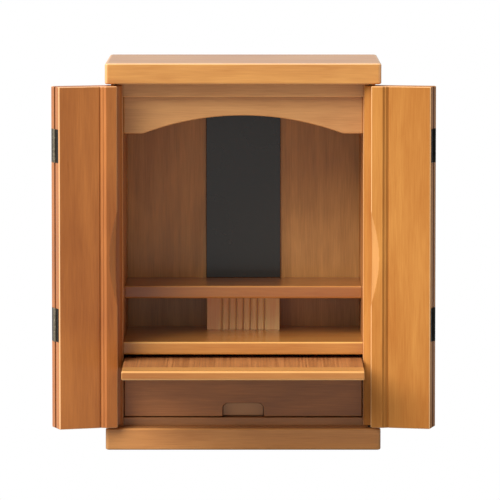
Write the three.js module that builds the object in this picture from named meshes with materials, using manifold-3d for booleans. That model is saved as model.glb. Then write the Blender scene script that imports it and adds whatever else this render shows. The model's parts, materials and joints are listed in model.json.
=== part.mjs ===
// A tabletop household altar cabinet in lacquered wood: a niche behind two folding doors, with
// shelves, a pull-out tray and a drawer. Millimetres, +Z up, the front faces -Y, and the origin
// is the centre of the base's underside. The doors stand open and the tray is drawn out.
import * as THREE from "three";
import { mergeVertices } from "three/addons/utils/BufferGeometryUtils.js";
import Module from "manifold-3d";

const wasm = await Module();
wasm.setup();

// Overall
const WIDTH = 302;
const DEPTH = 210;
const BASE_HEIGHT = 24;
const BODY_HEIGHT = 378;
const TOP_THICKNESS = 23;
const CORNER_RADIUS = 4;
const ARRIS = 1.5;
const SMALL_ARRIS = 0.8;
const FIT_GAP = 0.3;

// Fineness of round forms, and how far a cutting tool reaches past what it cuts
const BEVEL_SEGMENTS = 2;
const CURVE_SEGMENTS = 4;
const ROUND_SIDES = 24;
const NOSE_SIDES = 12;
const OVERSHOOT = 1;
const WELD_DISTANCE = 1e-4;

// Body
const BODY_WIDTH = 290;
const SIDE_THICKNESS = 13;
const FRONT_SETBACK = 25;
const REAR_SETBACK = 4;
const BACK_THICKNESS = 6;

// Head of the opening
const RAIL_HEIGHT = 15;
const RAIL_THICKNESS = 11;
const VALANCE_THICKNESS = 12;
const VALANCE_DROP = 56;
const ARCH_RISE = 20;
const ARCH_HALF_WIDTH = 111;
const ARCH_SHARPNESS = 1.85;
const ARCH_STEPS = 36;

// Shelves and what stands on them
const SHELF_THICKNESS = 14;
const LOWER_SHELF_TOP = 116.5;
const LOWER_SHELF_SETBACK = 28;
const UPPER_SHELF_TOP = 172;
const UPPER_SHELF_SETBACK = 97;
const BLOCK_WIDTH = 82;
const BLOCK_SETBACK = 160;
const FLUTE_COUNT = 7;
const FLUTE_PITCH = 8;
const FLUTE_RADIUS = 1.6;
const BACKBOARD_WIDTH = 84;
const BACKBOARD_THICKNESS = 3;

// Floor, tray and drawer
const FLOOR_THICKNESS = 9;
const TRAY_THICKNESS = 10;
const TRAY_TOP = 98.5;
const TRAY_DEPTH = 170;
const TRAY_DRAWN_OUT = 125;
const TRAY_SIDE_GAP = 1;
const TRAY_CORNER_RADIUS = 1;
const RUNNER_WIDTH = 10;
const RUNNER_HEIGHT = 9;
const RUNNER_SETBACK = 46;
const RUNNER_GAP = 0.4;
const DRAWER_FRONT_THICKNESS = 16;
const DRAWER_SETBACK = 28;
const DRAWER_FLOOR_GAP = 1;
const DRAWER_TOP_GAP = 1.5;
const DRAWER_SIDE_GAP = 1;
const DRAWER_WALL = 10;
const DRAWER_WALL_INSET = 3;
const DRAWER_WALL_CLEARANCE = 3;
const DRAWER_REAR_CLEARANCE = 10;
const DRAWER_BOTTOM_THICKNESS = 5;
const DRAWER_BOTTOM_RISE = 2;
const NOTCH_WIDTH = 46;
const NOTCH_HEIGHT = 15;
const NOTCH_DEPTH = 9;
const NOTCH_RADIUS = 4;

// Doors: each has an outer leaf on pivot pins and an inner leaf hinged to it
const LEAF_THICKNESS = 14;
const DOOR_CLEARANCE = 2;
const DOOR_BOTTOM_GAP = 2;
const DOOR_TOP_GAP = 1.5;
const PIVOT_INSET = 11.5;
const FOLD_REACH = 72.5;
const CENTRE_GAP = 1.4;
const LEAF_GAP = 0.6;
const FOLD_GAP = 0.8;
const STILE_WIDTH = 13;
const STILE_RISE = 3.5;
const STILE_BEVEL = 6;
const GRIP_HEIGHT = 188;
const GRIP_LENGTH = 106;
const GRIP_REACH = 9.5;
const GRIP_DEPTH = 7;
const GRIP_STEPS = 24;
const GRIP_LEAST = 0.001;
const LEFT_OPEN_DEG = 160.5;
const RIGHT_OPEN_DEG = 166;
const PIN_RADIUS = 2;
const PIN_DEPTH = 8;

// Fold hinges, two to a door
const HINGE_LENGTH = 37;
const HINGE_CENTRES = [140, 336];
const HINGE_PLATE = 1;
const HINGE_PLATE_WIDTH = 12.5;
const KNUCKLE_RADIUS = 2.3;
const HINGE_PIN_RADIUS = 0.9;
const HINGE_PIN_CLEARANCE = 0.25;

// Levels and depths that follow from the sizes above
const FRONT = -DEPTH / 2;
const BODY_TOP = BASE_HEIGHT + BODY_HEIGHT;
const BODY_FRONT = FRONT + FRONT_SETBACK;
const BODY_REAR = DEPTH / 2 - REAR_SETBACK;
const BACK_FACE = BODY_REAR - BACK_THICKNESS;
const OPENING = BODY_WIDTH - 2 * SIDE_THICKNESS;
const FLOOR_TOP = BASE_HEIGHT + FLOOR_THICKNESS;
const BACKBOARD_FACE = BACK_FACE - BACKBOARD_THICKNESS;
const PIVOT_X = WIDTH / 2 - PIVOT_INSET;
const PIVOT_Y = BODY_FRONT - DOOR_CLEARANCE - LEAF_THICKNESS / 2;
const DOOR_BOTTOM = BASE_HEIGHT + DOOR_BOTTOM_GAP;
const DOOR_TOP = BODY_TOP - DOOR_TOP_GAP;
const INNER_LEAF_WIDTH = PIVOT_X - FOLD_REACH - (LEAF_GAP + CENTRE_GAP) / 2;

const wood = (name, color, roughness = 0.45) => {
  const material = new THREE.MeshStandardMaterial({ color, roughness });
  material.name = name;
  return material;
};
const caseWood = wood("case_wood", 0xc07a3c);
const doorWood = wood("door_wood", 0xb8703a);
const nicheWood = wood("niche_wood", 0x7a5238, 0.6);
const drawerWood = wood("drawer_wood", 0x8a5a38, 0.5);
const blackLacquer = wood("black_lacquer", 0x2a2824, 0.2);
const hingeMetal = new THREE.MeshStandardMaterial({ color: 0x3a352c, roughness: 0.4, metalness: 0.9 });

const cabinet = new THREE.Group();

// A closed geometry with only positions, as a manifold-3d solid.
function solidOf(geometry) {
  const bare = geometry.clone();
  bare.deleteAttribute("normal");
  bare.deleteAttribute("uv");
  const merged = mergeVertices(bare, WELD_DISTANCE);
  return new wasm.Manifold(
    new wasm.Mesh({
      numProp: 3,
      vertProperties: new Float32Array(merged.attributes.position.array),
      triVerts: new Uint32Array(merged.index.array),
    }),
  );
}

// A manifold-3d solid as a geometry.
function geometryOf(solid) {
  const mesh = solid.getMesh();
  const geometry = new THREE.BufferGeometry();
  geometry.setAttribute("position", new THREE.BufferAttribute(mesh.vertProperties, 3));
  geometry.setIndex(new THREE.BufferAttribute(mesh.triVerts, 1));
  geometry.computeVertexNormals();
  return geometry;
}

// A geometry less each of the tools.
function cut(geometry, ...tools) {
  return geometryOf(tools.reduce((solid, tool) => solid.subtract(solidOf(tool)), solidOf(geometry)));
}

// A plain box between two corners.
function block(x, y, z) {
  const geometry = new THREE.BoxGeometry(x[1] - x[0], y[1] - y[0], z[1] - z[0]);
  return geometry.translate((x[0] + x[1]) / 2, (y[0] + y[1]) / 2, (z[0] + z[1]) / 2);
}

// A rectangle with round corners as a Shape.
function roundedRectangle(x, y, radius) {
  const shape = new THREE.Shape();
  shape.moveTo(x[0] + radius, y[0]);
  shape.lineTo(x[1] - radius, y[0]);
  shape.absarc(x[1] - radius, y[0] + radius, radius, -Math.PI / 2, 0);
  shape.lineTo(x[1], y[1] - radius);
  shape.absarc(x[1] - radius, y[1] - radius, radius, 0, Math.PI / 2);
  shape.lineTo(x[0] + radius, y[1]);
  shape.absarc(x[0] + radius, y[1] - radius, radius, Math.PI / 2, Math.PI);
  shape.lineTo(x[0], y[0] + radius);
  shape.absarc(x[0] + radius, y[0] + radius, radius, Math.PI, 1.5 * Math.PI);
  return shape;
}

// A board lying flat: round corners in plan, and its top and bottom arrises eased.
function board(x, y, z, radius, arris) {
  const geometry = new THREE.ExtrudeGeometry(roundedRectangle(x, y, radius), {
    depth: z[1] - z[0] - 2 * arris,
    bevelEnabled: true,
    bevelThickness: arris,
    bevelSize: arris,
    bevelOffset: -arris,
    bevelSegments: BEVEL_SEGMENTS,
    curveSegments: CURVE_SEGMENTS,
  });
  return geometry.translate(0, 0, z[0] + arris);
}

// A cylinder standing along Z.
function post(radius, x, y, z, sides = ROUND_SIDES) {
  const geometry = new THREE.CylinderGeometry(radius, radius, z[1] - z[0], sides);
  return geometry.rotateX(Math.PI / 2).translate(x, y, (z[0] + z[1]) / 2);
}

// Puts a geometry in a group as a named mesh.
function add(group, name, geometry, material) {
  const mesh = new THREE.Mesh(geometry, material);
  mesh.name = name;
  group.add(mesh);
  return mesh;
}

// Case: base and top board, each with the blind holes that the doors' pivot pins turn in.
function pinHoles(z) {
  const radius = PIN_RADIUS + FIT_GAP;
  return [-PIVOT_X, PIVOT_X].map((x) => post(radius, x, PIVOT_Y, z));
}

function buildCase() {
  const x = [-WIDTH / 2, WIDTH / 2];
  const y = [FRONT, DEPTH / 2];
  const base = board(x, y, [0, BASE_HEIGHT], CORNER_RADIUS, ARRIS);
  const baseHoles = pinHoles([BASE_HEIGHT - PIN_DEPTH - FIT_GAP, BASE_HEIGHT + OVERSHOOT]);
  add(cabinet, "base", cut(base, ...baseHoles), caseWood);
  const top = board(x, y, [BODY_TOP, BODY_TOP + TOP_THICKNESS], CORNER_RADIUS, ARRIS);
  const topHoles = pinHoles([BODY_TOP - OVERSHOOT, BODY_TOP + PIN_DEPTH + FIT_GAP]);
  add(cabinet, "top_board", cut(top, ...topHoles), caseWood);

  const height = [BASE_HEIGHT, BODY_TOP];
  const depth = [BODY_FRONT, BODY_REAR];
  add(cabinet, "left_side", block([-BODY_WIDTH / 2, -OPENING / 2], depth, height), caseWood);
  add(cabinet, "right_side", block([OPENING / 2, BODY_WIDTH / 2], depth, height), caseWood);
  add(cabinet, "back_panel", block([-OPENING / 2, OPENING / 2], [BACK_FACE, BODY_REAR], height), nicheWood);
  const floor = block([-OPENING / 2, OPENING / 2], [BODY_FRONT, BACK_FACE], [BASE_HEIGHT, FLOOR_TOP]);
  add(cabinet, "floor_board", floor, drawerWood);
}

// Head of the opening: a stop rail under the top board, and the arched valance behind it. The
// valance's lower edge follows half the cosine of a power of the distance from the middle.
function buildHead() {
  const x = [-OPENING / 2, OPENING / 2];
  const railRear = BODY_FRONT + RAIL_THICKNESS;
  const rail = block(x, [BODY_FRONT, railRear], [BODY_TOP - RAIL_HEIGHT, BODY_TOP]);
  add(cabinet, "stop_rail", rail, caseWood);

  const foot = BODY_TOP - VALANCE_DROP;
  const outline = new THREE.Shape();
  outline.moveTo(x[0], BODY_TOP);
  outline.lineTo(x[0], foot);
  for (let i = 0; i <= ARCH_STEPS; i++) {
    const across = ARCH_HALF_WIDTH * ((2 * i) / ARCH_STEPS - 1);
    const share = Math.pow(Math.abs(across) / ARCH_HALF_WIDTH, ARCH_SHARPNESS);
    outline.lineTo(across, foot + (ARCH_RISE * (1 + Math.cos(Math.PI * share))) / 2);
  }
  outline.lineTo(x[1], foot);
  outline.lineTo(x[1], BODY_TOP);
  const valance = new THREE.ExtrudeGeometry(outline, { depth: VALANCE_THICKNESS, bevelEnabled: false });
  valance.rotateX(Math.PI / 2).translate(0, railRear + VALANCE_THICKNESS, 0);
  add(cabinet, "arched_valance", valance, caseWood);
}

// Niche: the two shelves, the fluted block between them and the black backboard. The block's
// flutes are half-round grooves down its front.
function buildNiche() {
  const x = [-OPENING / 2, OPENING / 2];
  const lowerZ = [LOWER_SHELF_TOP - SHELF_THICKNESS, LOWER_SHELF_TOP];
  const upperZ = [UPPER_SHELF_TOP - SHELF_THICKNESS, UPPER_SHELF_TOP];
  add(cabinet, "lower_shelf", block(x, [FRONT + LOWER_SHELF_SETBACK, BACK_FACE], lowerZ), caseWood);
  add(cabinet, "upper_shelf", block(x, [FRONT + UPPER_SHELF_SETBACK, BACK_FACE], upperZ), caseWood);

  const face = FRONT + BLOCK_SETBACK;
  const halfBlock = BLOCK_WIDTH / 2;
  const body = block([-halfBlock, halfBlock], [face, BACK_FACE], [lowerZ[1], upperZ[0]]);
  const flutes = [];
  const fluteZ = [lowerZ[1] - OVERSHOOT, upperZ[0] + OVERSHOOT];
  for (let i = 0; i < FLUTE_COUNT; i++) {
    const across = (i - (FLUTE_COUNT - 1) / 2) * FLUTE_PITCH;
    flutes.push(post(FLUTE_RADIUS, across, face, fluteZ, NOSE_SIDES));
  }
  add(cabinet, "fluted_block", cut(body, ...flutes), caseWood);

  const halfBoard = BACKBOARD_WIDTH / 2;
  const backboard = block([-halfBoard, halfBoard], [BACKBOARD_FACE, BACK_FACE], [upperZ[1], BODY_TOP]);
  add(cabinet, "black_backboard", backboard, blackLacquer);
}

// Tray: one board, drawn out over the runners that carry it on each side.
function buildTray() {
  const half = OPENING / 2 - TRAY_SIDE_GAP;
  const face = BODY_FRONT - TRAY_DRAWN_OUT;
  const trayZ = [TRAY_TOP - TRAY_THICKNESS, TRAY_TOP];
  const trayY = [face, face + TRAY_DEPTH];
  const tray = board([-half, half], trayY, trayZ, TRAY_CORNER_RADIUS, SMALL_ARRIS);
  add(cabinet, "tray", tray, caseWood);
  const runnerTop = trayZ[0] - RUNNER_GAP;
  const runnerY = [FRONT + RUNNER_SETBACK, BACK_FACE];
  const runnerZ = [runnerTop - RUNNER_HEIGHT, runnerTop];
  const outer = OPENING / 2;
  const inner = outer - RUNNER_WIDTH;
  add(cabinet, "left_tray_runner", block([-outer, -inner], runnerY, runnerZ), nicheWood);
  add(cabinet, "right_tray_runner", block([inner, outer], runnerY, runnerZ), nicheWood);
}

// Drawer: an open box of thin boards behind a thick front with a finger notch in its lower edge.
function buildDrawer() {
  const half = OPENING / 2 - DRAWER_SIDE_GAP;
  const bottom = FLOOR_TOP + DRAWER_FLOOR_GAP;
  const top = TRAY_TOP - TRAY_THICKNESS - DRAWER_TOP_GAP;
  const face = FRONT + DRAWER_SETBACK;
  const behind = face + DRAWER_FRONT_THICKNESS;
  const rear = BACK_FACE - DRAWER_REAR_CLEARANCE;
  const wallTop = TRAY_TOP - TRAY_THICKNESS - RUNNER_GAP - RUNNER_HEIGHT - DRAWER_WALL_CLEARANCE;
  const wallOuter = half - DRAWER_WALL_INSET;
  const wallInner = wallOuter - DRAWER_WALL;

  const notchShape = roundedRectangle(
    [-NOTCH_WIDTH / 2, NOTCH_WIDTH / 2],
    [bottom - NOTCH_HEIGHT, bottom + NOTCH_HEIGHT],
    NOTCH_RADIUS,
  );
  const notch = new THREE.ExtrudeGeometry(notchShape, {
    depth: NOTCH_DEPTH + OVERSHOOT,
    bevelEnabled: false,
    curveSegments: CURVE_SEGMENTS,
  });
  notch.rotateX(Math.PI / 2).translate(0, face + NOTCH_DEPTH, 0);
  const front = block([-half, half], [face, behind], [bottom, top]);
  add(cabinet, "drawer_front", cut(front, notch), drawerWood);
  const wallZ = [bottom, wallTop];
  add(cabinet, "drawer_left_wall", block([-wallOuter, -wallInner], [behind, rear], wallZ), drawerWood);
  add(cabinet, "drawer_right_wall", block([wallInner, wallOuter], [behind, rear], wallZ), drawerWood);
  const across = [-wallInner, wallInner];
  add(cabinet, "drawer_rear_wall", block(across, [rear - DRAWER_WALL, rear], wallZ), drawerWood);
  const bottomZ = [bottom + DRAWER_BOTTOM_RISE, bottom + DRAWER_BOTTOM_RISE + DRAWER_BOTTOM_THICKNESS];
  add(cabinet, "drawer_bottom", block(across, [behind, rear - DRAWER_WALL], bottomZ), drawerWood);
}

// A leaf's own frame, used by everything on a door: u runs from the pivot along the outer leaf,
// v from its middle to its inner face, and z up. Both leaves lie folded together.
const FOLD_V = LEAF_THICKNESS / 2 + FOLD_GAP / 2;
const LEAF_END = FOLD_REACH - LEAF_GAP / 2;
const FOLDED_V = FOLD_V + FOLD_GAP / 2;

// An outline in u and v raised over the doors' height.
function prism(points, z) {
  const shape = new THREE.Shape(points.map(([u, v]) => new THREE.Vector2(u, v)));
  const geometry = new THREE.ExtrudeGeometry(shape, { depth: z[1] - z[0], bevelEnabled: false });
  return geometry.translate(0, 0, z[0]);
}

// What one leaf loses to its half of each hinge: the plate's mortise and room for the knuckles.
function hingeMortises(plateV) {
  const tools = [];
  for (const centre of HINGE_CENTRES) {
    const z = [centre - HINGE_LENGTH / 2 - FIT_GAP, centre + HINGE_LENGTH / 2 + FIT_GAP];
    const u = [LEAF_END - HINGE_PLATE - FIT_GAP, LEAF_END + OVERSHOOT];
    tools.push(block(u, [plateV[0] - FIT_GAP, plateV[1] + FIT_GAP], z));
    tools.push(post(KNUCKLE_RADIUS + FIT_GAP, FOLD_REACH, FOLD_V, z));
  }
  return tools;
}

const OUTER_PLATE_V = [FOLD_V - HINGE_PLATE_WIDTH, FOLD_V];
const INNER_PLATE_V = [FOLD_V, FOLD_V + HINGE_PLATE_WIDTH];

// The outer leaf: a flat board with a half-round nose about the pivot.
function outerLeaf() {
  const half = LEAF_THICKNESS / 2;
  const points = [
    [LEAF_END, -half],
    [LEAF_END, half],
  ];
  for (let i = 0; i <= NOSE_SIDES; i++) {
    const turn = Math.PI / 2 + (Math.PI * i) / NOSE_SIDES;
    points.push([half * Math.cos(turn), half * Math.sin(turn)]);
  }
  return cut(prism(points, [DOOR_BOTTOM, DOOR_TOP]), ...hingeMortises(OUTER_PLATE_V));
}

// The finger grip: a slanting hollow along the stile's outer arris that swells and dies away. It
// is a loft of triangles whose size follows the square root of half a sine, from a least share of
// it that keeps the tool closed.
function gripTool(edge, face) {
  const slant = GRIP_REACH / GRIP_DEPTH;
  const outside = edge - OVERSHOOT;
  const proud = face + OVERSHOOT;
  const positions = [];
  const index = [];
  for (let i = 0; i <= GRIP_STEPS; i++) {
    const along = i / GRIP_STEPS;
    const size = GRIP_LEAST + (1 - GRIP_LEAST) * Math.sqrt(Math.sin(Math.PI * along));
    const z = GRIP_HEIGHT + BASE_HEIGHT + GRIP_LENGTH * (along - 0.5);
    positions.push(edge + GRIP_REACH * size + OVERSHOOT * slant, proud, z);
    positions.push(outside, proud, z);
    positions.push(outside, face - GRIP_DEPTH * size - OVERSHOOT / slant, z);
  }
  for (let i = 0; i < GRIP_STEPS; i++) {
    for (let k = 0; k < 3; k++) {
      const a = 3 * i + k;
      const b = 3 * i + ((k + 1) % 3);
      index.push(a, b, a + 3, b, b + 3, a + 3);
    }
  }
  const last = 3 * GRIP_STEPS;
  index.push(0, 2, 1, last, last + 1, last + 2);
  const geometry = new THREE.BufferGeometry();
  geometry.setAttribute("position", new THREE.Float32BufferAttribute(positions, 3));
  geometry.setIndex(index);
  return geometry;
}

// The inner leaf: a board whose closing stile stands proud, with a bevel down to the panel and
// a finger grip in its free arris.
function innerLeaf() {
  const free = LEAF_END - INNER_LEAF_WIDTH;
  const panel = FOLDED_V + LEAF_THICKNESS;
  const stile = panel + STILE_RISE;
  const points = [
    [free, FOLDED_V],
    [LEAF_END, FOLDED_V],
    [LEAF_END, panel],
    [free + STILE_WIDTH + STILE_BEVEL, panel],
    [free + STILE_WIDTH, stile],
    [free, stile],
  ];
  const board = prism(points, [DOOR_BOTTOM, DOOR_TOP]);
  return cut(board, gripTool(free, stile), ...hingeMortises(INNER_PLATE_V));
}

// Half of a fold hinge: its plate, lying in the leaf's end, and its share of the knuckles. The
// outer half has the two end knuckles and the pin, and the inner half the middle one.
function hingeHalf(centre, plateV, isOuter) {
  const low = centre - HINGE_LENGTH / 2;
  const high = centre + HINGE_LENGTH / 2;
  const third = HINGE_LENGTH / 3;
  const barrel = (radius, z) => solidOf(post(radius, FOLD_REACH, FOLD_V, z));
  const room = (z) => barrel(KNUCKLE_RADIUS + FIT_GAP, z);
  const plate = solidOf(block([LEAF_END - HINGE_PLATE, LEAF_END], plateV, [low, high]));
  if (isOuter) {
    const ends = [
      [low, low + third - FIT_GAP],
      [high - third + FIT_GAP, high],
    ];
    const cleared = plate.subtract(room([low + third - FIT_GAP, high - third + FIT_GAP]));
    const knuckled = ends.reduce((half, z) => half.add(barrel(KNUCKLE_RADIUS, z)), cleared);
    return geometryOf(knuckled.add(barrel(HINGE_PIN_RADIUS, [low, high])));
  }
  const past = [low - OVERSHOOT, high + OVERSHOOT];
  const cleared = plate.subtract(room([past[0], low + third])).subtract(room([high - third, past[1]]));
  const knuckled = cleared.add(barrel(KNUCKLE_RADIUS, [low + third, high - third]));
  return geometryOf(knuckled.subtract(barrel(HINGE_PIN_RADIUS + HINGE_PIN_CLEARANCE, past)));
}

// A door stands in a group at its pivot. The leaf's frame is turned so that u points outwards
// and forwards; the right door is the left one mirrored.
function buildDoor(side, mirror, openDeg) {
  const mirrored = new THREE.Group();
  mirrored.scale.set(mirror, 1, 1);
  const door = new THREE.Group();
  door.position.set(-PIVOT_X, PIVOT_Y, 0);
  door.rotation.z = -THREE.MathUtils.degToRad(openDeg);
  mirrored.add(door);
  cabinet.add(mirrored);
  add(door, `${side}_outer_leaf`, outerLeaf(), doorWood);
  add(door, `${side}_inner_leaf`, innerLeaf(), doorWood);
  HINGE_CENTRES.forEach((centre, i) => {
    const place = i === 0 ? "lower" : "upper";
    add(door, `${side}_${place}_hinge_outer_half`, hingeHalf(centre, OUTER_PLATE_V, true), hingeMetal);
    add(door, `${side}_${place}_hinge_inner_half`, hingeHalf(centre, INNER_PLATE_V, false), hingeMetal);
  });
  const lower = post(PIN_RADIUS, 0, 0, [BASE_HEIGHT - PIN_DEPTH, DOOR_BOTTOM]);
  const upper = post(PIN_RADIUS, 0, 0, [DOOR_TOP, BODY_TOP + PIN_DEPTH]);
  add(door, `${side}_lower_pivot_pin`, lower, hingeMetal);
  add(door, `${side}_upper_pivot_pin`, upper, hingeMetal);
}

buildCase();
buildHead();
buildNiche();
buildTray();
buildDrawer();
buildDoor("left", 1, LEFT_OPEN_DEG);
buildDoor("right", -1, RIGHT_OPEN_DEG);

export default cabinet;
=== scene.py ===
# A tabletop household altar cabinet in lacquered wood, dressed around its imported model. The
# sections follow the cabinet as it is put together: case, head, niche, tray, drawer and doors.
import json
import bpy
import numpy as np
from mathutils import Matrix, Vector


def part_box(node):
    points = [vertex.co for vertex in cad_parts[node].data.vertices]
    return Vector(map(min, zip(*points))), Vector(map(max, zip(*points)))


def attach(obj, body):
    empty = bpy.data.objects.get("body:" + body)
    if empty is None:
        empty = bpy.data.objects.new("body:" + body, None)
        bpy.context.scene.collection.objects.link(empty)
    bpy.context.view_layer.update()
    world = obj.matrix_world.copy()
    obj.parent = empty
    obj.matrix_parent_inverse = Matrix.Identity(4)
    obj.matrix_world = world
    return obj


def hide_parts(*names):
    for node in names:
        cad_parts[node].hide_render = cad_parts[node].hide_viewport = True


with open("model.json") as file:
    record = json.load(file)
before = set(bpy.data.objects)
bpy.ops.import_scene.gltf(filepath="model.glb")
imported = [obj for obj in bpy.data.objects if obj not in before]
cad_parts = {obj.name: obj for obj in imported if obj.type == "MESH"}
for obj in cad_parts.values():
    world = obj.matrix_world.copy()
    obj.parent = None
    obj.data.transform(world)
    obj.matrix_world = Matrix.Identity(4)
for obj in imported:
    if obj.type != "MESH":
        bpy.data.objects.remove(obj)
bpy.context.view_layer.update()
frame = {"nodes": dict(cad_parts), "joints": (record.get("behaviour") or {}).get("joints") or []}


# Base and top board. Two thick boards of plain hardwood, sawn a little wider and deeper than the
# case, with rounded corners and eased arrises, glued to the sides' ends. The stain is a warm orange
# brown under satin lacquer, painted paler along the arrises as wear and as painted highlight.
MM = 0.001
THICK_BOARD_EASE = (4.0 * MM, 4.0 * MM, 1.8 * MM)
STAIN_PALE = (213, 151, 77)
STAIN_DEEP = (178, 113, 50)
ARRIS_TINT = (246, 190, 130)
ALONG_X = (0.045, 1.0, 1.0)
ALONG_Y = (1.0, 0.045, 1.0)
ALONG_Z = (1.0, 1.0, 0.045)
EASE_LINES = 5
FLAT_START = 0.4 * MM
ARRIS_FADE = 0.2
HAIR = 0.1 * MM
ROUND_OFF = 0.01 * MM


def linear(colour):
    """A display colour of 0 to 255 as linear light: the display curve undone, channel by channel."""
    share = np.array(colour, float) / 255.0
    light = np.where(share > 0.04045, ((share + 0.055) / 1.055) ** 2.4, share / 12.92)
    return (*light.tolist(), 1.0)


def stations(low, high, ease, inner=()):
    """Places along one axis: equal steps of angle through each eased end, a line just inside each,
    and any inner places given."""
    turns = np.linspace(np.pi / 4, 0.0, EASE_LINES)
    near = ease * (1.0 - np.tan(turns))
    inside = np.array([low + ease + FLAT_START, high - ease - FLAT_START])
    places = np.concatenate([low + near, inside, np.asarray(inner, float), high - near])
    return np.unique(np.round(places, 7))


def eased_box(low, high, ease, inner=((), (), ())):
    """Points, quads and arris mask of a box with rounded edges: each point of six flat grids is
    clamped into the box shrunk by the easing, then put one easing out along the line back to
    where it was. The mask is how far that line leans from the nearest axis."""
    low, high, ease = (np.asarray(v, float) for v in (low, high, ease))
    lines = [stations(low[k], high[k], ease[k], inner[k]) for k in range(3)]
    points, quads, count = [], [], 0
    for k in range(3):
        a, b = (k + 1) % 3, (k + 2) % 3
        across, up = np.meshgrid(lines[a], lines[b], indexing="ij")
        number = np.arange(across.size).reshape(across.shape)
        corner = [number[:-1, :-1], number[1:, :-1], number[1:, 1:], number[:-1, 1:]]
        for place, order in ((high[k], (0, 1, 2, 3)), (low[k], (0, 3, 2, 1))):
            side = np.empty((across.size, 3))
            side[:, k], side[:, a], side[:, b] = place, across.ravel(), up.ravel()
            points.append(side)
            quads.append(np.stack([corner[i].ravel() for i in order], axis=1) + count)
            count += len(side)
    points, same = np.unique(np.round(np.concatenate(points), 7), axis=0, return_inverse=True)
    quads = same.ravel()[np.concatenate(quads)]
    core = np.clip(points, low + ease, high - ease)
    lean = (points - core) / ease
    lean /= np.maximum(np.linalg.norm(lean, axis=1, keepdims=True), 1e-9)
    mask = np.clip((1.0 - np.abs(lean).max(axis=1)) / ARRIS_FADE, 0.0, 1.0)
    return core + lean * ease, quads, mask


def surface_piece(name, points, faces, mask, number):
    """A mesh object at the origin from arrays, shaded smooth, with two attributes: its arris mask,
    and its number, which shifts the wood figure so that no two boards are alike."""
    mesh = bpy.data.meshes.new(name)
    mesh.from_pydata(points.tolist(), [], faces.tolist())
    arris = mesh.attributes.new("arris", "FLOAT", "POINT")
    arris.data.foreach_set("value", np.asarray(mask, np.float32))
    board = mesh.attributes.new("board", "FLOAT", "POINT")
    board.data.foreach_set("value", np.full(len(points), number, np.float32))
    mesh.shade_smooth()
    piece = bpy.data.objects.new(name, mesh)
    bpy.context.scene.collection.objects.link(piece)
    return piece


def second_material(piece, quads, inside):
    """Gives the faces whose points all lie inside the piece's second material."""
    piece.data.polygons.foreach_set("material_index", inside[quads].all(axis=1).astype(np.int32))
    return piece


BOARD_SHIFT = (0.37, 0.53, 0.71)
PLACE_SHARE = 0.3
BAND_SCALE = 22.0
BAND_WAVER = 9.0
FIBRE_SCALE = 760.0
PATCH_SCALE = 20.0
ARRIS_WEAR_AND_HIGHLIGHT = 0.85
SATIN_ROUGHNESS = 0.36
FIBRE_ROUGHNESS = 0.35
PATCH_HEIGHT = 0.3
PORE_STRENGTH = 0.25
PORE_DEPTH = 0.08 * MM
COAT_ROUGHNESS = 0.18


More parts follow.
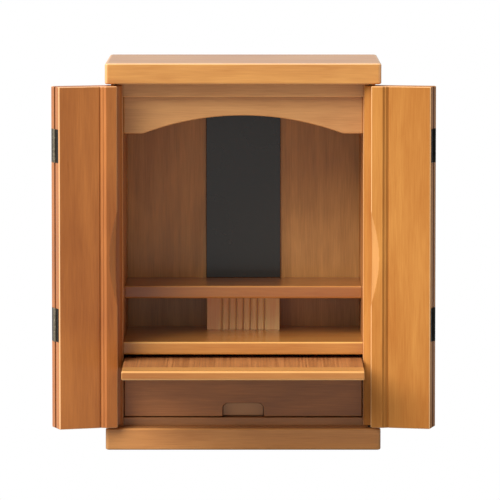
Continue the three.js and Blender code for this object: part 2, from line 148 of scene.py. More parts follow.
def wood_figure_group():
    """The figure of stained wood as colour, roughness and height. A vector squeezed along the
    grain feeds wavering bands and fine fibres, and one squeezed less feeds the broad patches of
    the stain. Their sum runs from the deep stain to the pale one, and the arrises are mixed toward
    a pale tint, as wear and as painted highlight."""
    group = bpy.data.node_groups.new("wood_figure", "ShaderNodeTree")
    face = group.interface
    face.new_socket("Vector", in_out="INPUT", socket_type="NodeSocketVector")
    face.new_socket("Place", in_out="INPUT", socket_type="NodeSocketVector")
    for name in ("Pale", "Deep", "Arris Tint"):
        face.new_socket(name, in_out="INPUT", socket_type="NodeSocketColor")
    for name in ("Board", "Arris", "Patches", "Bands", "Fibres"):
        face.new_socket(name, in_out="INPUT", socket_type="NodeSocketFloat")
    face.new_socket("Color", in_out="OUTPUT", socket_type="NodeSocketColor")
    face.new_socket("Roughness", in_out="OUTPUT", socket_type="NodeSocketFloat")
    face.new_socket("Height", in_out="OUTPUT", socket_type="NodeSocketFloat")
    new, link = group.nodes.new, group.links.new
    given, out = new("NodeGroupInput"), new("NodeGroupOutput")

    def maths(operation, first, second):
        node = new("ShaderNodeMath")
        node.operation = operation
        for socket, value in zip(node.inputs, (first, second)):
            if isinstance(value, (int, float)):
                socket.default_value = value
            else:
                link(value, socket)
        return node.outputs[0]

    def shifted(vector):
        shift = new("ShaderNodeVectorMath")
        shift.operation = "MULTIPLY_ADD"
        shift.inputs[1].default_value = BOARD_SHIFT
        link(given.outputs["Board"], shift.inputs[0])
        link(vector, shift.inputs[2])
        return shift.outputs[0]

    def noise(vector, scale, detail, distortion=0.0):
        node = new("ShaderNodeTexNoise")
        node.inputs["Scale"].default_value = scale
        node.inputs["Detail"].default_value = detail
        node.inputs["Distortion"].default_value = distortion
        link(vector, node.inputs["Vector"])
        return maths("SUBTRACT", node.outputs["Fac"], 0.5)

    squeezed = shifted(given.outputs["Vector"])
    eased = new("ShaderNodeMix")
    eased.data_type = "VECTOR"
    eased.inputs["Factor"].default_value = PLACE_SHARE
    link(given.outputs["Vector"], eased.inputs["A"])
    link(given.outputs["Place"], eased.inputs["B"])
    broad = shifted(eased.outputs["Result"])
    bands = new("ShaderNodeTexWave")
    bands.wave_type = "BANDS"
    bands.bands_direction = "DIAGONAL"
    bands.inputs["Scale"].default_value = BAND_SCALE
    bands.inputs["Distortion"].default_value = BAND_WAVER
    bands.inputs["Detail"].default_value = 3.0
    bands.inputs["Detail Scale"].default_value = 2.2
    link(squeezed, bands.inputs["Vector"])
    fibre = noise(squeezed, FIBRE_SCALE, 4.0)
    streak = maths("MULTIPLY", fibre, given.outputs["Fibres"])
    patch = maths("MULTIPLY", noise(broad, PATCH_SCALE, 3.0, 0.5), given.outputs["Patches"])
    band = maths("MULTIPLY", maths("SUBTRACT", bands.outputs["Fac"], 0.5), given.outputs["Bands"])
    figure = maths("ADD", maths("ADD", streak, patch), maths("ADD", band, 0.5))
    stain = new("ShaderNodeMix")
    stain.data_type = "RGBA"
    link(figure, stain.inputs["Factor"])
    link(given.outputs["Deep"], stain.inputs["A"])
    link(given.outputs["Pale"], stain.inputs["B"])
    # The arrises are mixed toward the pale tint: partly wear, partly a painted highlight.
    lightened = new("ShaderNodeMix")
    lightened.data_type = "RGBA"
    link(maths("MULTIPLY", given.outputs["Arris"], ARRIS_WEAR_AND_HIGHLIGHT), lightened.inputs["Factor"])
    link(stain.outputs["Result"], lightened.inputs["A"])
    link(given.outputs["Arris Tint"], lightened.inputs["B"])
    link(lightened.outputs["Result"], out.inputs["Color"])
    sheen = maths("MULTIPLY", fibre, FIBRE_ROUGHNESS)
    link(maths("ADD", sheen, SATIN_ROUGHNESS), out.inputs["Roughness"])
    link(maths("ADD", fibre, maths("MULTIPLY", patch, PATCH_HEIGHT)), out.inputs["Height"])
    return group


WOOD_FIGURE = wood_figure_group()


def new_material(name):
    """A node material, its nodes, the call that links them, and its shader."""
    material = bpy.data.materials.new(name)
    material.use_nodes = True
    tree = material.node_tree
    return material, tree.nodes, tree.links.new, tree.nodes["Principled BSDF"]


def lacquered_wood(
        name, grain, pale, deep, tint, patches=1.5, bands=0.2, fibres=0.9, coat=0.3, gloss=0.3):
    """Stained wood under satin lacquer: the wood figure laid along the grain by a Mapping node,
    with pores as a slight bump and a clear coat over all."""
    material, nodes, link, shader = new_material(name)
    place, mapping = nodes.new("ShaderNodeTexCoord"), nodes.new("ShaderNodeMapping")
    mapping.inputs["Scale"].default_value = grain
    link(place.outputs["Object"], mapping.inputs["Vector"])
    figure = nodes.new("ShaderNodeGroup")
    figure.node_tree = WOOD_FIGURE
    link(mapping.outputs["Vector"], figure.inputs["Vector"])
    link(place.outputs["Object"], figure.inputs["Place"])
    for socket, attribute in (("Board", "board"), ("Arris", "arris")):
        reader = nodes.new("ShaderNodeAttribute")
        reader.attribute_name = attribute
        link(reader.outputs["Fac"], figure.inputs[socket])
    for socket, colour in (("Pale", pale), ("Deep", deep), ("Arris Tint", tint)):
        figure.inputs[socket].default_value = linear(colour)
    for socket, value in (("Patches", patches), ("Bands", bands), ("Fibres", fibres)):
        figure.inputs[socket].default_value = value
    link(figure.outputs["Color"], shader.inputs["Base Color"])
    link(figure.outputs["Roughness"], shader.inputs["Roughness"])
    pores = nodes.new("ShaderNodeBump")
    pores.inputs["Strength"].default_value = PORE_STRENGTH
    pores.inputs["Distance"].default_value = PORE_DEPTH
    link(figure.outputs["Height"], pores.inputs["Height"])
    link(pores.outputs["Normal"], shader.inputs["Normal"])
    shader.inputs["Specular IOR Level"].default_value = gloss
    shader.inputs["Coat Weight"].default_value = coat
    shader.inputs["Coat Roughness"].default_value = COAT_ROUGHNESS
    return material


def dress(piece, node, body, slot, *materials):
    """Gives a piece its materials, hides the node that it stands for and puts it under its body. The slot is
    not used.
    """
    for material in materials:
        piece.data.materials.append(material)
    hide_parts(node)
    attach(piece, body)
    return piece


def eased_node(node, number, ease, body, slot, material):
    """A node's box as one eased board of that material."""
    low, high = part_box(node)
    points, quads, mask = eased_box(low, high, ease)
    return dress(surface_piece(node + "_board", points, quads, mask, number), node, body, slot, material)


case_across = lacquered_wood("case_wood_across", ALONG_X, STAIN_PALE, STAIN_DEEP, ARRIS_TINT, coat=0.6)
base_wood = lacquered_wood("base_wood", ALONG_X, (204, 141, 79), (167, 107, 56), (219, 158, 94))
eased_node("base", 1, THICK_BOARD_EASE, "cabinet", "case_wood", base_wood)
eased_node("top_board", 2, THICK_BOARD_EASE, "cabinet", "case_wood", case_across)


# Sides, back and floor board. The sides stand between base and top with their grain upright, the
# thin back is let in between them, and the floor's front edge shows below the drawer. The stain
# is yellower on the back and browner on the floor.
PANEL_EASE = (0.8 * MM, 0.8 * MM, 0.3 * MM)
THIN_EASE = (0.5 * MM, 0.5 * MM, 0.5 * MM)

case_upright = lacquered_wood("case_wood_upright", ALONG_Z, (210, 144, 78), (176, 106, 50), ARRIS_TINT)
niche_upright = lacquered_wood("niche_wood_upright", ALONG_Z, (214, 155, 86), (165, 114, 57), (221, 163, 92))
floor_wood = lacquered_wood("floor_wood", ALONG_X, (188, 129, 77), (147, 99, 58), (199, 141, 88))
eased_node("left_side", 3, PANEL_EASE, "cabinet", "case_wood", case_upright)
eased_node("right_side", 4, PANEL_EASE, "cabinet", "case_wood", case_upright)
eased_node("back_panel", 5, THIN_EASE, "cabinet", "niche_wood", niche_upright)
eased_node("floor_board", 6, THIN_EASE, "cabinet", "drawer_wood", floor_wood)


# Head of the opening: a square stop rail under the top board, and behind it the valance, a board
# sawn to an arch along its foot with the sawn arris rounded over by hand.
RAIL_EASE = (0.3 * MM, 1.2 * MM, 1.2 * MM)
VALANCE_EASE = 1.6 * MM
VALANCE_COLUMNS = 141
ROUND_LINES = 7
FACE_START = 0.5 * MM
FACE_LINES = 6
ARCH_RISE = 20 * MM
ARCH_HALF_WIDTH = 110 * MM
ARCH_POWER = 2.0


def rounding(distance, radius):
    """How far a rounded arris falls back at a distance from the edge: a quarter circle."""
    short = np.clip(radius - distance, 0.0, radius)
    return radius - np.sqrt(radius**2 - short**2)


def slab(x, z, front, back):
    """Points and quads of a closed slab between two height fields over one grid: the front faces
    -Y, the back +Y, and a band of quads joins their borders."""
    count, rows, columns = x.size, *x.shape
    points = np.concatenate([np.stack([x, y, z], axis=-1).reshape(-1, 3) for y in (front, back)])
    number = np.arange(count).reshape(rows, columns)
    cells = [number[:-1, :-1], number[1:, :-1], number[1:, 1:], number[:-1, 1:]]
    faced = np.stack([c.ravel() for c in cells], axis=1)
    border = np.concatenate([number[:-1, 0], number[-1, :-1], number[:0:-1, -1], number[0, :0:-1]])
    ahead = np.roll(border, -1)
    band = np.stack([border, border + count, ahead + count, ahead], axis=1)
    return points, np.concatenate([faced, faced[:, ::-1] + count, band])


def arched_valance():
    """The valance as a slab: its foot rises to the middle in a shallow arch, and both faces fall
    back to it in a quarter circle."""
    low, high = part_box("arched_valance")
    across = np.linspace(low[0], high[0], VALANCE_COLUMNS)
    share = np.clip(np.abs(across) / ARCH_HALF_WIDTH, 0.0, 1.0)
    foot = low[2] + ARCH_RISE * (1.0 - share**ARCH_POWER)
    near = VALANCE_EASE * (1.0 - np.cos(np.linspace(0.0, np.pi / 2, ROUND_LINES)))
    above = np.concatenate([near, [VALANCE_EASE + FACE_START]])
    rest = np.linspace(0.1, 1.0, FACE_LINES)[None, :] * (high[2] - foot - above[-1])[:, None]
    rounded = np.broadcast_to(above, (across.size, above.size))
    distance = np.concatenate([rounded, rest + above[-1]], axis=1)
    x = np.broadcast_to(across[:, None], distance.shape)
    z = foot[:, None] + distance
    fall = rounding(distance, VALANCE_EASE)
    points, quads = slab(x, z, low[1] + fall, high[1] - fall)
    mask = np.tile(np.clip(fall / VALANCE_EASE, 0.0, 1.0).ravel(), 2)
    return surface_piece("valance_board", points, quads, mask, 8)


valance_wood = lacquered_wood("valance_wood", ALONG_X, (219, 161, 99), (185, 126, 72), (236, 176, 112))
# The stop rail takes the paler valance wood as painted light, against the shade under the top board.
eased_node("stop_rail", 7, RAIL_EASE, "cabinet", "case_wood", valance_wood)
dress(arched_valance(), "arched_valance", "cabinet", "case_wood", valance_wood)


# Niche: two shelves housed in the sides, with their front arrises well rounded, a block between
# them ploughed with upright flutes, and a board lacquered black that stands against the back.
SHELF_EASE = (0.3 * MM, 2.2 * MM, 2.2 * MM)
BLOCK_EASE = 0.6 * MM
FLUTE_COUNT = 7
FLUTE_PITCH = 8 * MM
FLUTE_RADIUS = 1.6 * MM
FLUTE_LINES = 17
FLUTE_RIM = 0.35 * MM
FLUTE_RIM_WEAR_AND_HIGHLIGHT = 0.7
FLUTE_SHADE = 0.55
BOARD_EASE = (0.6 * MM, 0.6 * MM, 0.6 * MM)
LACQUER_CLOUDS = 14.0
LACQUER_COLOURS = (27, 21, 9), (41, 34, 20)
LACQUER_ROUGHNESS = 0.2, 0.32
LACQUER_COAT = 0.25
LACQUER_COAT_ROUGHNESS = 0.08


def fluted_block():
    """The block as a slab whose front sinks to a half circle along each flute. The flutes' rims
    are painted pale, as wear and as painted highlight, and their bottoms darker, as painted shade."""
    low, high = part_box("fluted_block")
    reach = np.linspace(-1.0, 1.0, FLUTE_LINES)
    middles = (np.arange(FLUTE_COUNT) - (FLUTE_COUNT - 1) / 2) * FLUTE_PITCH
    grooves = (middles[:, None] + FLUTE_RADIUS * np.sin(reach * np.pi / 2)[None, :]).ravel()
    rims = np.add.outer(middles, (-FLUTE_RADIUS - FLUTE_RIM, FLUTE_RADIUS + FLUTE_RIM)).ravel()
    across = stations(low[0], high[0], BLOCK_EASE, np.concatenate([grooves, rims]))
    up = stations(low[2], high[2], BLOCK_EASE)
    x, z = np.meshgrid(across, up, indexing="ij")
    offset = np.abs(x[..., None] - middles).min(axis=-1)
    sunk = np.sqrt(np.clip(FLUTE_RADIUS**2 - offset**2, 0.0, None))
    fall = rounding(np.minimum(x - low[0], high[0] - x), BLOCK_EASE)
    points, quads = slab(x, z, low[1] + np.maximum(fall, sunk), np.full(x.shape, high[1]))
    at_rim = np.abs(offset - FLUTE_RADIUS) < FLUTE_RIM - ROUND_OFF
    # The flute rims get the pale arris tint, as wear and as painted highlight.
    mask = np.maximum(fall / BLOCK_EASE, FLUTE_RIM_WEAR_AND_HIGHLIGHT * at_rim)
    # The flute bottoms take the second, darker stain: painted shade.
    in_flute = np.stack([offset < FLUTE_SHADE * FLUTE_RADIUS, np.zeros(x.shape, bool)])
    piece = surface_piece("fluted_block_board", points, quads, np.tile(mask.ravel(), 2), 11)
    return second_material(piece, quads, in_flute.ravel())


def object_noise(nodes, link, scale, detail):
    """Noise over the piece's own space, as the socket of its factor."""
    place, noise = nodes.new("ShaderNodeTexCoord"), nodes.new("ShaderNodeTexNoise")
    noise.inputs["Scale"].default_value = scale
    noise.inputs["Detail"].default_value = detail
    link(place.outputs["Object"], noise.inputs["Vector"])
    return noise.outputs["Fac"]


def ranged(nodes, link, factor, low, high):
    """A factor of 0 to 1 carried to the range from low to high."""
    span = nodes.new("ShaderNodeMapRange")
    span.inputs["To Min"].default_value = low
    span.inputs["To Max"].default_value = high
    link(factor, span.inputs["Value"])
    return span.outputs["Result"]


def black_lacquer():
    """Black lacquer rubbed to a gloss: a faint cloudiness in its colour and roughness."""
    material, nodes, link, shader = new_material("black_lacquer_gloss")
    clouds = object_noise(nodes, link, LACQUER_CLOUDS, 4.0)
    colour = nodes.new("ShaderNodeMix")
    colour.data_type = "RGBA"
    link(clouds, colour.inputs["Factor"])
    for socket, ends in zip(("A", "B"), LACQUER_COLOURS):
        colour.inputs[socket].default_value = linear(ends)
    link(colour.outputs["Result"], shader.inputs["Base Color"])
    link(ranged(nodes, link, clouds, *LACQUER_ROUGHNESS), shader.inputs["Roughness"])
    shader.inputs["Coat Weight"].default_value = LACQUER_COAT
    shader.inputs["Coat Roughness"].default_value = LACQUER_COAT_ROUGHNESS
    return material


lower_shelf_wood = lacquered_wood(
    "lower_shelf_wood", ALONG_X, (205, 144, 70), (176, 111, 49), (232, 178, 97), coat=0.8)
# The upper shelf's darker stain is painted shade: it lies deep under the valance and the doors.
upper_shelf_shaded_wood = lacquered_wood(
    "upper_shelf_shaded_wood", ALONG_X, (171, 110, 52), (145, 84, 36), (198, 138, 72), coat=0.8)
# The block's near-white stain is painted light, lifting it out of the niche's shade.
block_painted_light_wood = lacquered_wood("block_painted_light_wood", ALONG_Z, (255, 218, 149), (246, 168, 116), (255, 245, 172))
eased_node("lower_shelf", 9, SHELF_EASE, "cabinet", "case_wood", lower_shelf_wood)
eased_node("upper_shelf", 10, SHELF_EASE, "cabinet", "case_wood", upper_shelf_shaded_wood)
# The flute stain is darker than the block's as painted shade in the flutes.
flute_shade_wood = lacquered_wood("flute_shade_wood", ALONG_Z, (200, 146, 98), (172, 114, 74), (255, 245, 172))
dress(fluted_block(), "fluted_block", "cabinet", "case_wood", block_painted_light_wood, flute_shade_wood)
eased_node("black_backboard", 12, BOARD_EASE, "cabinet", "black_lacquer", black_lacquer())


# Tray: a thin board that slides on two runners. Its field has the grain from front to back, and
# a lipping of cross wood is glued along its front edge and rounded over.
TRAY_EASE = (0.8 * MM, 2.6 * MM, 2.6 * MM)
LIPPING_DEPTH = 38 * MM
SEAM_LINE = 0.3 * MM
LIPPING_TOP_LIGHT = 0.6
TRAY_GRAIN = (0.8, 0.006, 1.0)


def tray_board():
    """The tray as one eased board, with the faces within the lipping's depth in its own wood,
    whose top is painted paler, as painted light falling on it."""
    low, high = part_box("tray")
    seam = low[1] + LIPPING_DEPTH
    points, quads, mask = eased_box(low, high, TRAY_EASE, ((), (seam, seam + SEAM_LINE), ()))
    # The lipping's top is painted paler: painted light from above.
    on_top = (points[:, 1] < seam + HAIR) & (points[:, 2] > high[2] - HAIR)
    mask = np.maximum(mask, LIPPING_TOP_LIGHT * on_top)
    piece = surface_piece("tray_board", points, quads, mask, 13)
    middle = points[quads, 1].mean(axis=1)
    piece.data.polygons.foreach_set("material_index", (middle < seam).astype(np.int32))
    return piece


tray_field = lacquered_wood(
    "tray_field_wood", TRAY_GRAIN, (212, 144, 86), (112, 60, 32), (236, 176, 108),
    patches=0.3, bands=0.0, fibres=1.7)
tray_lipping = lacquered_wood(
    "tray_lipping_wood", ALONG_X, (186, 122, 57), (160, 96, 39), (239, 178, 104), coat=0.6)
dress(tray_board(), "tray", "tray", "case_wood", tray_field, tray_lipping)
eased_node("left_tray_runner", 14, THIN_EASE, "cabinet", "niche_wood", niche_upright)
eased_node("right_tray_runner", 15, THIN_EASE, "cabinet", "niche_wood", niche_upright)


# Drawer: a thick front with a finger notch routed in its lower edge, and thin walls and a bottom
# board behind it. It stands in the tray's shade, and its stain is a little darker.
FRONT_EASE = 0.8 * MM
NOTCH_HALF = (23 * MM, 15 * MM)
NOTCH_RADIUS = 6.5 * MM
NOTCH_DEPTH = 9 * MM
NOTCH_WALL = 1.25 * MM
NOTCH_MARGIN = 1 * MM
NOTCH_STEP = 0.25 * MM
NOTCH_FLOOR_WEAR_AND_LIGHT = 0.6


def drawer_front():
    """The front as a slab. The notch is a rounded rectangle centred on the lower edge, and the
    face sinks by its depth where the distance inside that outline passes the wall's width. Its
    floor is painted pale, as finger wear and as painted light in the recess, and its wall darker,
    as painted shade."""
    low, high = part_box("drawer_front")
    half_x, half_z = NOTCH_HALF
    bend = np.arange(-NOTCH_RADIUS - NOTCH_MARGIN, NOTCH_MARGIN, NOTCH_STEP)
    inner = np.concatenate([half_x + bend, -half_x - bend, np.linspace(-half_x, half_x, 9)])
    across = stations(low[0], high[0], FRONT_EASE, inner)
    up = stations(low[2], high[2], FRONT_EASE, low[2] + half_z + bend)
    x, z = np.meshgrid(across, up, indexing="ij")
    beyond_x = np.abs(x) - half_x + NOTCH_RADIUS
    beyond_z = z - low[2] - half_z + NOTCH_RADIUS
    corner = np.hypot(np.maximum(beyond_x, 0.0), np.maximum(beyond_z, 0.0))
    inside = NOTCH_RADIUS - corner - np.minimum(np.maximum(beyond_x, beyond_z), 0.0)
    sunk = NOTCH_DEPTH * np.clip(inside / NOTCH_WALL, 0.0, 1.0)
    edge = np.minimum(np.minimum(x - low[0], high[0] - x), np.minimum(z - low[2], high[2] - z))
    fall = rounding(edge, FRONT_EASE)
    points, quads = slab(x, z, low[1] + np.maximum(fall, sunk), high[1] - fall)
    # The notch floor is lightened, as finger wear and as painted light in the recess.
    lightened = np.maximum(fall / FRONT_EASE * (inside < 0), NOTCH_FLOOR_WEAR_AND_LIGHT * (sunk >= NOTCH_DEPTH))
    # The notch wall takes the second, darker stain: painted shade.
    in_wall = np.stack([(inside >= 0) & (inside <= NOTCH_WALL + ROUND_OFF), np.zeros(x.shape, bool)])
    piece = surface_piece("drawer_front_board", points, quads, np.tile(lightened.ravel(), 2), 16)
    return second_material(piece, quads, in_wall.ravel())


drawer_wood = lacquered_wood("drawer_wood_across", ALONG_X, (189, 123, 68), (146, 93, 53), (235, 176, 121))
drawer_inside = lacquered_wood("drawer_wood_along", ALONG_Y, (150, 102, 72), (120, 78, 52), (160, 112, 80))
# The notch wood is a dark stain painted as the shade on the notch's wall.
notch_wall_shade_wood = lacquered_wood("notch_wall_shade_wood", ALONG_X, (112, 72, 40), (88, 54, 30), (112, 72, 40))
dress(drawer_front(), "drawer_front", "drawer", "drawer_wood", drawer_wood, notch_wall_shade_wood)
for number, wall in enumerate(("left_wall", "right_wall", "rear_wall", "bottom")):
    eased_node("drawer_" + wall, 17 + number, THIN_EASE, "drawer", "drawer_wood", drawer_inside)


# Doors: each is two leaves hinged together, folded back here. The outer leaf is a flat board with
# a round nose about its pivot pins. The inner leaf has a closing stile that stands proud, with a
# bevel in two steps down to the panel, and a hollow for the fingers worked in its free arris.
LEAF_THICKNESS = 14 * MM
OUTER_LEAF_EASE = (2.2 * MM, 2.2 * MM, 1.0 * MM)
INNER_LEAF_EASE = (1.6 * MM, 2.0 * MM, 0.9 * MM)
FOLD_REACH = 72.5 * MM
FOLD_GAP = 0.8 * MM
LEAF_GAP = 0.6 * MM
INNER_LEAF_WIDTH = 66.0 * MM
STILE_WIDTH = 13 * MM
STILE_RISE = 3.5 * MM
BEVEL_ACROSS = (0.0, 1.9 * MM, 3.2 * MM, 5.8 * MM, 6.9 * MM)
BEVEL_HEIGHT = (1.0, 0.4, 0.36, -0.4, 0.0)
BESIDE_BEND = np.array([-0.35, -0.1, 0.1, 0.35]) * MM
GRIP_MIDDLE = 212 * MM
GRIP_LENGTH = 106 * MM
GRIP_REACH = 9.5 * MM
GRIP_DEPTH = 5.5 * MM
GRIP_WEAR = 0.2
GRIP_COLUMNS = 19
GRIP_ROWS = 65
GROOVE_REACH = 2.3 * MM
GROOVE_SHADE_STAIN = (104, 54, 18), (78, 38, 12), (104, 54, 18)
DOOR_STAIN = {"left": ((191, 116, 51), (156, 86, 31)), "right": ((194, 133, 66), (168, 104, 46))}
DOOR_ARRIS = (255, 204, 148)
DOOR_GLOSS = {"left": 0.5, "right": 0.05}
LEAF_END = FOLD_REACH - LEAF_GAP / 2
FOLD_V = (LEAF_THICKNESS + FOLD_GAP) / 2
FOLDED_V = FOLD_V + FOLD_GAP / 2


def door_place(points, side):
    """Points from a door's own frame, u out from the pivot and v to its inner face, turned so
    that the fold pin falls on its joint. The right door is the left one mirrored."""
    pivot, fold = (np.array(next(j for j in frame["joints"] if j["name"] == side + name)["pos_m"][:2])
                   for name in ("_door_pivot", "_leaf_fold"))
    mirror = np.array([1.0 if side == "left" else -1.0, 1.0])
    reach = (fold - pivot) * mirror
    turn = np.arctan2(reach[1], reach[0]) - np.arctan2(FOLD_V, FOLD_REACH)
    c, s = np.cos(turn), np.sin(turn)
    u, v, z = points.T
    flat = np.stack([c * u - s * v, s * u + c * v], axis=1) * mirror + pivot
    return np.column_stack([flat, z])


def facing(quads, side):
    """Quads as they are for the left door, and turned round for the mirrored right one."""
    return quads if side == "left" else quads[:, ::-1]


def leaf_piece(name, side, points, quads, mask, number, depth):
    """A leaf put in its place. Depth is each point's distance from the face that the other leaf
    folds against: the arris there, at the hinged end, has the second material, a dark stain painted
    as the shade in the groove between the leaves."""
    piece = surface_piece(name, door_place(points, side), facing(quads, side), mask, number)
    # The groove faces get the dark stain as painted shade between the leaves.
    in_groove = (depth < GROOVE_REACH) & (points[:, 0] > LEAF_END - GROOVE_REACH)
    return second_material(piece, quads, in_groove)


def outer_leaf(side, number):
    """An eased board whose pivot end is drawn from a square section into a round one: there each
    point keeps its larger coordinate as its distance from the pin."""
    low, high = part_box(side + "_outer_leaf")
    half = LEAF_THICKNESS / 2
    nose = half * np.linspace(-0.8, 0.0, 5)
    across = half * np.linspace(-0.75, 0.75, 7)
    corners = (-half, -half, low[2]), (LEAF_END, half, high[2])
    points, quads, mask = eased_box(*corners, OUTER_LEAF_EASE, (nose, across, ()))
    in_nose = points[:, 0] < 0
    section = points[:, :2]
    larger = np.abs(section).max(axis=1)
    length = np.maximum(np.linalg.norm(section, axis=1), 1e-9)
    points[in_nose, :2] *= (larger / length)[in_nose, None]
    mask = mask * ~in_nose * (points[:, 1] < 0)
    return leaf_piece(side + "_outer_leaf_board", side, points, quads, mask, number, half - points[:, 1])


def inner_leaf(side, number):
    """An eased board stretched in thickness to a height field: the panel, the stile's rise with
    its stepped bevel, less a slanting hollow whose size follows half a sine along the grip. The
    hollow is worn, and the shown side's arrises are painted pale as wear and as painted highlight."""
    low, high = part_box(side + "_inner_leaf")
    free = LEAF_END - INNER_LEAF_WIDTH
    full = LEAF_THICKNESS + STILE_RISE
    hollow = free + np.linspace(0.0, GRIP_REACH * 1.1, GRIP_COLUMNS)
    slope = free + STILE_WIDTH + np.add.outer(BEVEL_ACROSS, BESIDE_BEND).ravel()
    along = np.linspace(0.0, 1.0, GRIP_ROWS)
    grip_z = GRIP_MIDDLE + GRIP_LENGTH * (along - 0.5)
    corners = (free, 0.0, low[2]), (LEAF_END, full, high[2])
    inner = (np.concatenate([hollow, slope]), (full / 2,), grip_z)
    points, quads, mask = eased_box(*corners, INNER_LEAF_EASE, inner)
    mask = mask * (points[:, 1] > full / 2)
    across = points[:, 0] - free
    share = np.clip((points[:, 2] - GRIP_MIDDLE) / GRIP_LENGTH + 0.5, 0.0, 1.0)
    size = np.sin(np.pi * share).clip(0.0)
    rise = STILE_RISE * np.interp(across - STILE_WIDTH, BEVEL_ACROSS, BEVEL_HEIGHT)
    cut = GRIP_DEPTH * size * np.clip(1.0 - across / (GRIP_REACH * size + 1e-6), 0.0, 1.0)
    mask = np.where((cut > HAIR) & (points[:, 1] > full / 2), GRIP_WEAR, mask)
    height = LEAF_THICKNESS + rise - cut
    depth = points[:, 1] * height / full
    points[:, 1] = FOLDED_V + depth
    return leaf_piece(side + "_inner_leaf_board", side, points, quads, mask, number, depth)


for number, side in enumerate(("left", "right")):
    door_wood = lacquered_wood(
        side + "_door_wood", ALONG_Z, *DOOR_STAIN[side], DOOR_ARRIS, coat=0.0, gloss=DOOR_GLOSS[side])
    # The groove stain is painted shade in the gap between the leaves.
    groove_shade_wood = lacquered_wood(side + "_groove_shade_wood", ALONG_Z, *GROOVE_SHADE_STAIN, coat=0.0, gloss=0.05)
    for leaf, piece in (("outer", outer_leaf(side, 21 + number)), ("inner", inner_leaf(side, 23 + number))):
        dress(piece, f"{side}_{leaf}_leaf", f"{side}_{leaf}_door", "door_wood", door_wood, groove_shade_wood)


# Fold hinges and pivot pins: small butt hinges of blackened brass let into the leaves' ends, two
# to a door. Each half is a plate with rounded corners, three screws and its share of the
# knuckles, and the outer half holds the pin. The left door's knuckles are a paler brass, a painted highlight.
HINGE_LENGTH = 37 * MM
HINGE_PLATE = 1.0 * MM
HINGE_PROUD = 0.1 * MM
HINGE_PLATE_WIDTH = 12.5 * MM
KNUCKLE_RADIUS = 2.3 * MM
KNUCKLE_GAP = 0.15 * MM
KNUCKLE_EASE = 0.35 * MM
PIN_RADIUS = 0.9 * MM
PLATE_EASE = (0.25 * MM, 0.8 * MM, 0.8 * MM)
SCREW_RADIUS = 1.5 * MM
SCREW_RISE = 0.15 * MM
SCREW_SIDES = 20
SCREW_SETBACK = 0.3
SCREW_PITCH = 0.34
END_LINES = 6
ON_AXIS = 1e-6
SPECK_SCALE = 420.0
PATINA_SPAN = (0.45, 0.75)
PATINA_SHEEN = 0.1
PATINA_METAL = 0.85


def turned(profile, axis, centre, sides=32):
    """Points and quads of a profile of (radius, distance) carried round an axis. A profile that
    begins and ends at the axis makes a closed form."""
    turn = np.linspace(0.0, 2 * np.pi, sides, endpoint=False)
    radius, along = np.asarray(profile, float).T
    a, b = (axis + 1) % 3, (axis + 2) % 3
    points = np.empty((len(radius), sides, 3))
    points[..., axis] = centre[axis] + along[:, None]
    points[..., a] = centre[a] + radius[:, None] * np.cos(turn)
    points[..., b] = centre[b] + radius[:, None] * np.sin(turn)
    number = np.arange(points.shape[0] * sides).reshape(-1, sides)
    ahead = np.roll(number, -1, axis=1)
    quads = np.stack([c.ravel() for c in (number[:-1], ahead[:-1], ahead[1:], number[1:])], axis=1)
    return points.reshape(-1, 3), quads


def knuckle(low, high):
    """A barrel between two heights with its ends rounded in and drawn to the axis."""
    round_in = np.linspace(0.0, np.pi / 2, END_LINES)
    radius = KNUCKLE_RADIUS - KNUCKLE_EASE * (1 - np.sin(round_in))
    end = np.vstack([[ON_AXIS, 0.0], np.column_stack([radius, KNUCKLE_EASE * (1 - np.cos(round_in))])])
    foot = end + [0.0, low]
    head = (end * [1, -1] + [0.0, high])[::-1]
    return turned(np.vstack([foot, head]), 2, (FOLD_REACH, FOLD_V, 0.0))


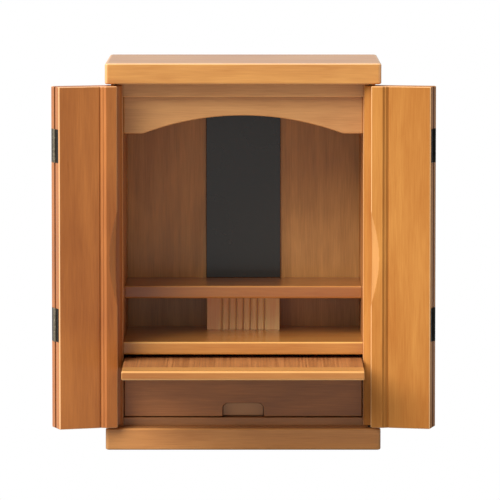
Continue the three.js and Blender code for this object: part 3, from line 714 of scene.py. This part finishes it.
def hinge_half(side, place, half):
    """A plate, its screws and its knuckles as one mesh in the door's own frame."""
    node = f"{side}_{place}_hinge_{half}_half"
    low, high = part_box(node)
    middle, third = (low[2] + high[2]) / 2, HINGE_LENGTH / 3
    foot = middle - HINGE_LENGTH / 2
    is_outer = half == "outer"
    plate_low = FOLD_V - HINGE_PLATE_WIDTH if is_outer else FOLD_V
    face = LEAF_END + HINGE_PROUD
    parts = [eased_box((face - HINGE_PLATE, plate_low, foot),
                       (face, plate_low + HINGE_PLATE_WIDTH, foot + HINGE_LENGTH), PLATE_EASE)[:2]]
    spans = ((0, 1), (2, 3)) if is_outer else ((1, 2),)
    parts += [knuckle(foot + a * third + KNUCKLE_GAP, foot + b * third - KNUCKLE_GAP) for a, b in spans]
    dome = np.linspace(np.pi / 2, 0.02, END_LINES)
    head = np.column_stack([SCREW_RADIUS * np.sin(dome), SCREW_RISE * np.cos(dome)])
    away = HINGE_PLATE_WIDTH * (SCREW_SETBACK if is_outer else 1 - SCREW_SETBACK)
    for step in (-SCREW_PITCH, 0.0, SCREW_PITCH):
        centre = (face, plate_low + away, middle + step * HINGE_LENGTH)
        parts.append(turned(head, 0, centre, SCREW_SIDES))
    if is_outer:
        pin = [(ON_AXIS, 0.0), (PIN_RADIUS, 0.0), (PIN_RADIUS, HINGE_LENGTH), (ON_AXIS, HINGE_LENGTH)]
        parts.append(turned(pin, 2, (FOLD_REACH, FOLD_V, foot)))
    counts = np.cumsum([0] + [len(p) for p, _ in parts])
    is_knuckle = [0] + [1] * len(spans) + [0] * (len(parts) - 1 - len(spans))
    lightened = np.repeat(is_knuckle, [len(q) for _, q in parts])
    points = door_place(np.concatenate([p for p, _ in parts]), side)
    quads = facing(np.concatenate([q + c for (_, q), c in zip(parts, counts)]), side)
    piece = surface_piece(node + "_metal", points, quads, np.zeros(len(points)), 0)
    piece.data.polygons.foreach_set("material_index", lightened.astype(np.int32))
    # Only the left door's knuckles take the paler brass, as a painted highlight.
    barrel_metal = knuckle_highlight_metal if side == "left" else hinge_metal
    return dress(piece, node, f"{side}_{half}_door", "hinge_metal", hinge_metal, barrel_metal)


def patinated_brass(name, dark, bright, roughness):
    """Brass with a brown-black patina: the patina thins in specks, where it is paler and
    smoother."""
    material, nodes, link, shader = new_material(name)
    specks = object_noise(nodes, link, SPECK_SCALE, 5.0)
    ramp = nodes.new("ShaderNodeValToRGB")
    for element, position, colour in zip(ramp.color_ramp.elements, PATINA_SPAN, (dark, bright)):
        element.position, element.color = position, linear(colour)
    link(specks, ramp.inputs["Fac"])
    link(ramp.outputs["Color"], shader.inputs["Base Color"])
    sheen = ranged(nodes, link, specks, roughness + PATINA_SHEEN, roughness - PATINA_SHEEN)
    link(sheen, shader.inputs["Roughness"])
    shader.inputs["Metallic"].default_value = PATINA_METAL
    return material


hinge_metal = patinated_brass("blackened_brass", (30, 28, 24), (46, 42, 35), 0.45)
# The paler brass is a painted highlight for the left door's knuckles.
knuckle_highlight_metal = patinated_brass("knuckle_highlight_brass", (122, 113, 96), (166, 155, 132), 0.35)
for side in ("left", "right"):
    for place in ("lower", "upper"):
        for half in ("outer", "inner"):
            hinge_half(side, place, half)
        pin_mesh = frame["nodes"][f"{side}_{place}_pivot_pin"].data
        pin_mesh.materials.clear()
        pin_mesh.materials.append(hinge_metal)


# Floor, light and camera: a pale table that throws light back but isn't seen, a sky that is
# brighter on the left, a wide lamp there and a weak one behind, and a long lens that looks a
# little down.
FLOOR_HALF = 9.0
FLOOR_DROP = 0.2 * MM
FLOOR_GREY = 0.4
SKY_LEFT = 0.88
SKY_RIGHT = 0.12
SKY_SEEN = 1.0
KEY_LIGHT = (-1.15, -1.05, 1.3), 4.2, 50.0
REAR_LIGHT = (0.0, 1.0, 1.6), 0.6, 40.0
CAMERA_PLACE = (0.00755, -5.405, 0.68825)
CAMERA_AIM = (0.00755, -0.105, 0.22075)
CAMERA_LENS = 350.0


def pale_table():
    """A wide floor just under the base, which only the light meets."""
    corners = [(x * FLOOR_HALF, y * FLOOR_HALF, -FLOOR_DROP) for x, y in ((-1, -1), (1, -1), (1, 1), (-1, 1))]
    mesh = bpy.data.meshes.new("pale_table")
    mesh.from_pydata(corners, [], [(0, 1, 2, 3)])
    material, _, _, shader = new_material("pale_table_top")
    shader.inputs["Base Color"].default_value = (FLOOR_GREY, FLOOR_GREY, FLOOR_GREY, 1.0)
    shader.inputs["Roughness"].default_value = 0.9
    mesh.materials.append(material)
    floor = bpy.data.objects.new("pale_table", mesh)
    bpy.context.scene.collection.objects.link(floor)
    floor.visible_camera = False


def graded_sky():
    """White light all round that fades from left to right, and a plain white ground where the
    camera sees past the cabinet."""
    world = bpy.data.worlds.new("daylight")
    world.use_nodes = True
    nodes, link = world.node_tree.nodes, world.node_tree.links.new
    sky = nodes["Background"]
    towards, axes = nodes.new("ShaderNodeTexCoord"), nodes.new("ShaderNodeSeparateXYZ")
    sky.inputs["Color"].default_value = (1.0, 1.0, 1.0, 1.0)
    link(towards.outputs["Generated"], axes.inputs["Vector"])
    fade = nodes.new("ShaderNodeMapRange")
    for socket, value in (("From Min", -1.0), ("To Min", SKY_LEFT), ("To Max", SKY_RIGHT)):
        fade.inputs[socket].default_value = value
    link(axes.outputs["X"], fade.inputs["Value"])
    seen, glow = nodes.new("ShaderNodeLightPath"), nodes.new("ShaderNodeMapRange")
    glow.inputs["To Max"].default_value = SKY_SEEN
    link(seen.outputs["Is Camera Ray"], glow.inputs["Value"])
    link(fade.outputs["Result"], glow.inputs["To Min"])
    link(glow.outputs["Result"], sky.inputs["Strength"])
    bpy.context.scene.world = world


def aim(thing, place, target):
    """Puts a lamp or camera at a place, looking along the line to the target."""
    thing.location = place
    way = np.subtract(target, place)
    thing.rotation_euler = (
        np.arccos(-way[2] / np.linalg.norm(way)), 0.0, np.arctan2(-way[0], way[1]))
    bpy.context.scene.collection.objects.link(thing)


def daylight(name, way, strength, spread):
    """A distant lamp: the way its light comes from, its strength on a facing surface and the
    spread of its directions in degrees."""
    light = bpy.data.lights.new(name, "SUN")
    light.energy, light.angle = strength, np.radians(spread)
    aim(bpy.data.objects.new(name, light), way, (0.0, 0.0, 0.0))


def long_lens():
    """The scene's camera: far off and a little above, so that the uprights stay upright."""
    camera = bpy.data.cameras.new("camera")
    camera.lens, camera.sensor_width, camera.clip_end = CAMERA_LENS, 36.0, 60.0
    viewer = bpy.data.objects.new("camera", camera)
    aim(viewer, CAMERA_PLACE, CAMERA_AIM)
    bpy.context.scene.camera = viewer


pale_table()
graded_sky()
daylight("key_daylight", *KEY_LIGHT)
daylight("rear_daylight", *REAR_LIGHT)
long_lens()
bpy.context.scene.view_settings.view_transform = "Standard"
